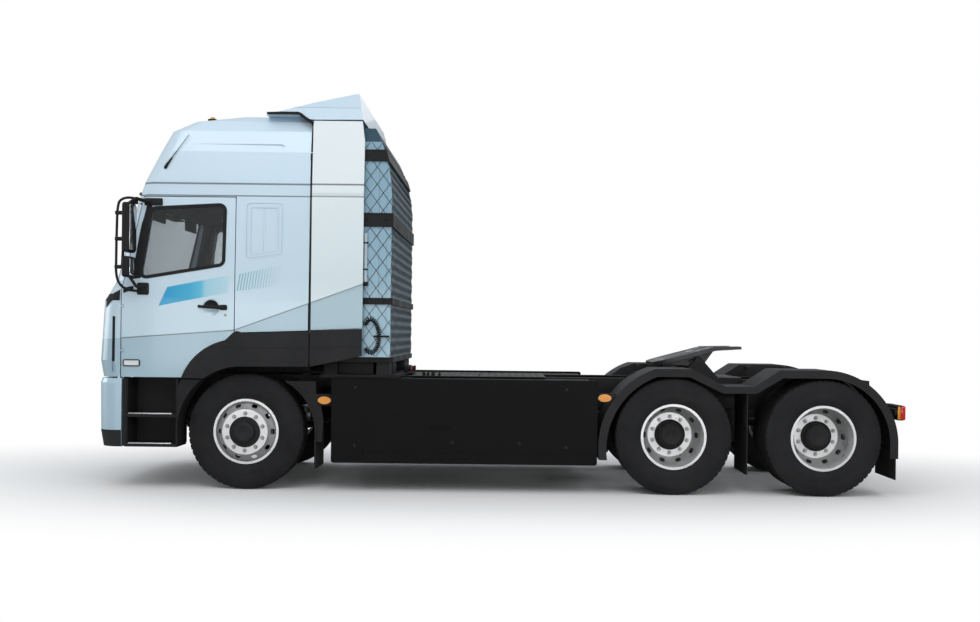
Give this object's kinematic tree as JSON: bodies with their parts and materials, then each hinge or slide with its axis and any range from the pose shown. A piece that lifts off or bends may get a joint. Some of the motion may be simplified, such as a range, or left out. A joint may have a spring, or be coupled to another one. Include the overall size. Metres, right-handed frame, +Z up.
{
  "type": "semi truck tractor unit",
  "caption": "Pale blue electric three-axle tractor unit with a high-roof sleeper cab, battery pack behind it and fifth wheel.",
  "frame": {"origin": "ground level below the centre of the truck's bounding box", "axes": "+X to the rear, +Y to the truck's right, +Z up"},
  "size_m": [7.3957, 3, 3.62],
  "materials": {
    "cab_paint": "gloss metallic",
    "black_plastic": "grained satin",
    "bumper_paint": "gloss metallic",
    "glazing": "tinted clear",
    "chassis_paint": "satin",
    "coupler_iron": "greased dark",
    "motor_casing": "sand cast",
    "pack_panels": "satin",
    "pack_bands": "satin",
    "pack_housings": "satin",
    "wheel_steel": "silver lacquer",
    "tyre_rubber": "matte",
    "flap_rubber": "matte",
    "amber_lens": "clear amber",
    "red_lens": "clear red and amber",
    "seat_fabric": "woven"
  },
  "bodies": {
    "chassis": {"frame_rails": "chassis_paint", "crossmembers": "chassis_paint", "bumper": "bumper_paint", "headlamps": "glazing", "cab_mounts": "chassis_paint", "steps": "black_plastic", "front_mudguards": "black_plastic", "battery_base": "chassis_paint", "battery_pack": "pack_panels", "battery_cage": "pack_bands", "coil_hose": "black_plastic", "side_packs": "pack_housings", "side_skirts": "black_plastic", "deck_plates": "chassis_paint", "drive_unit": "motor_casing", "propshafts": "chassis_paint", "front_axle_beam": "chassis_paint", "front_springs": "chassis_paint", "rear_axles": "chassis_paint", "rear_suspension": "chassis_paint", "air_tanks": "chassis_paint", "coupler_base": "chassis_paint", "rear_mudguards": "black_plastic", "mud_flaps": "flap_rubber", "tail_lamps": "red_lens", "side_markers": "amber_lens"},
    "cab": {"cab_shell": "cab_paint", "front_panel": "cab_paint", "windscreen": "glazing", "high_roof": "cab_paint", "roof_deflector": "cab_paint", "side_fairings": "cab_paint", "cab_wings": "black_plastic", "dashboard": "black_plastic", "seats_and_bunk": "seat_fabric", "steering_wheel": "black_plastic"},
    "door_left": {"door_left": "cab_paint", "door_glass_left": "glazing", "mirror_left": "black_plastic"},
    "door_right": {"door_right": "cab_paint", "door_glass_right": "glazing", "mirror_right": "black_plastic"},
    "knuckle_left": {"knuckle_left": "chassis_paint"},
    "knuckle_right": {"knuckle_right": "chassis_paint"},
    "tie_rod": {"tie_rod": "chassis_paint"},
    "wheel_front_left": {"tyre_front_left": "tyre_rubber", "rim_front_left": "wheel_steel"},
    "wheel_front_right": {"tyre_front_right": "tyre_rubber", "rim_front_right": "wheel_steel"},
    "wheels_middle_left": {"tyres_middle_left": "tyre_rubber", "rims_middle_left": "wheel_steel"},
    "wheels_middle_right": {"tyres_middle_right": "tyre_rubber", "rims_middle_right": "wheel_steel"},
    "wheels_rear_left": {"tyres_rear_left": "tyre_rubber", "rims_rear_left": "wheel_steel"},
    "wheels_rear_right": {"tyres_rear_right": "tyre_rubber", "rims_rear_right": "wheel_steel"},
    "coupler_plate": {"coupler_plate": "coupler_iron"}
  },
  "joints": [
    {"name": "cab_tilt", "type": "hinge", "parent": "chassis", "child": "cab", "pos_m": [-3.63, 0, 0.985], "axis": [0, -1, 0], "range_deg": [0, 50]},
    {"name": "door_left_hinge", "type": "hinge", "parent": "cab", "child": "door_left", "pos_m": [-3.378, -1.207, 1.5], "axis": [0, 0, -1], "range_deg": [0, 70]},
    {"name": "door_right_hinge", "type": "hinge", "parent": "cab", "child": "door_right", "pos_m": [-3.378, 1.207, 1.5], "axis": [0, 0, 1], "range_deg": [0, 70]},
    {"name": "steer_left", "type": "hinge", "parent": "chassis", "child": "knuckle_left", "pos_m": [-2.27, -0.89, 0.525], "axis": [0, 0, 1], "range_deg": [-38, 38]},
    {"name": "steer_right", "type": "hinge", "parent": "chassis", "child": "knuckle_right", "pos_m": [-2.27, 0.89, 0.525], "axis": [0, 0, 1], "range_deg": [-38, 38]},
    {"name": "tie_rod_link", "type": "hinge", "parent": "knuckle_left", "child": "tie_rod", "pos_m": [-2.12, -0.89, 0.369], "axis": [0, 0, 1], "range_deg": [-38, 38]},
    {"name": "wheel_front_left_spin", "type": "hinge", "parent": "knuckle_left", "child": "wheel_front_left", "pos_m": [-2.27, -1.018, 0.525], "axis": [0, 1, 0], "continuous": true},
    {"name": "wheel_front_right_spin", "type": "hinge", "parent": "knuckle_right", "child": "wheel_front_right", "pos_m": [-2.27, 1.018, 0.525], "axis": [0, 1, 0], "continuous": true},
    {"name": "wheels_middle_left_spin", "type": "hinge", "parent": "chassis", "child": "wheels_middle_left", "pos_m": [1.6, -0.93, 0.525], "axis": [0, 1, 0], "continuous": true},
    {"name": "wheels_middle_right_spin", "type": "hinge", "parent": "chassis", "child": "wheels_middle_right", "pos_m": [1.6, 0.93, 0.525], "axis": [0, 1, 0], "continuous": true},
    {"name": "wheels_rear_left_spin", "type": "hinge", "parent": "chassis", "child": "wheels_rear_left", "pos_m": [2.95, -0.93, 0.525], "axis": [0, 1, 0], "continuous": true},
    {"name": "wheels_rear_right_spin", "type": "hinge", "parent": "chassis", "child": "wheels_rear_right", "pos_m": [2.95, 0.93, 0.525], "axis": [0, 1, 0], "continuous": true},
    {"name": "coupler_tilt", "type": "hinge", "parent": "chassis", "child": "coupler_plate", "pos_m": [1.95, 0, 1.205], "axis": [0, 1, 0], "range_deg": [0, 27]}
  ],
  "couplings": [
    {"joint": "steer_right", "follows": "steer_left", "ratio": 1},
    {"joint": "tie_rod_link", "follows": "steer_left", "ratio": -1}
  ]
}
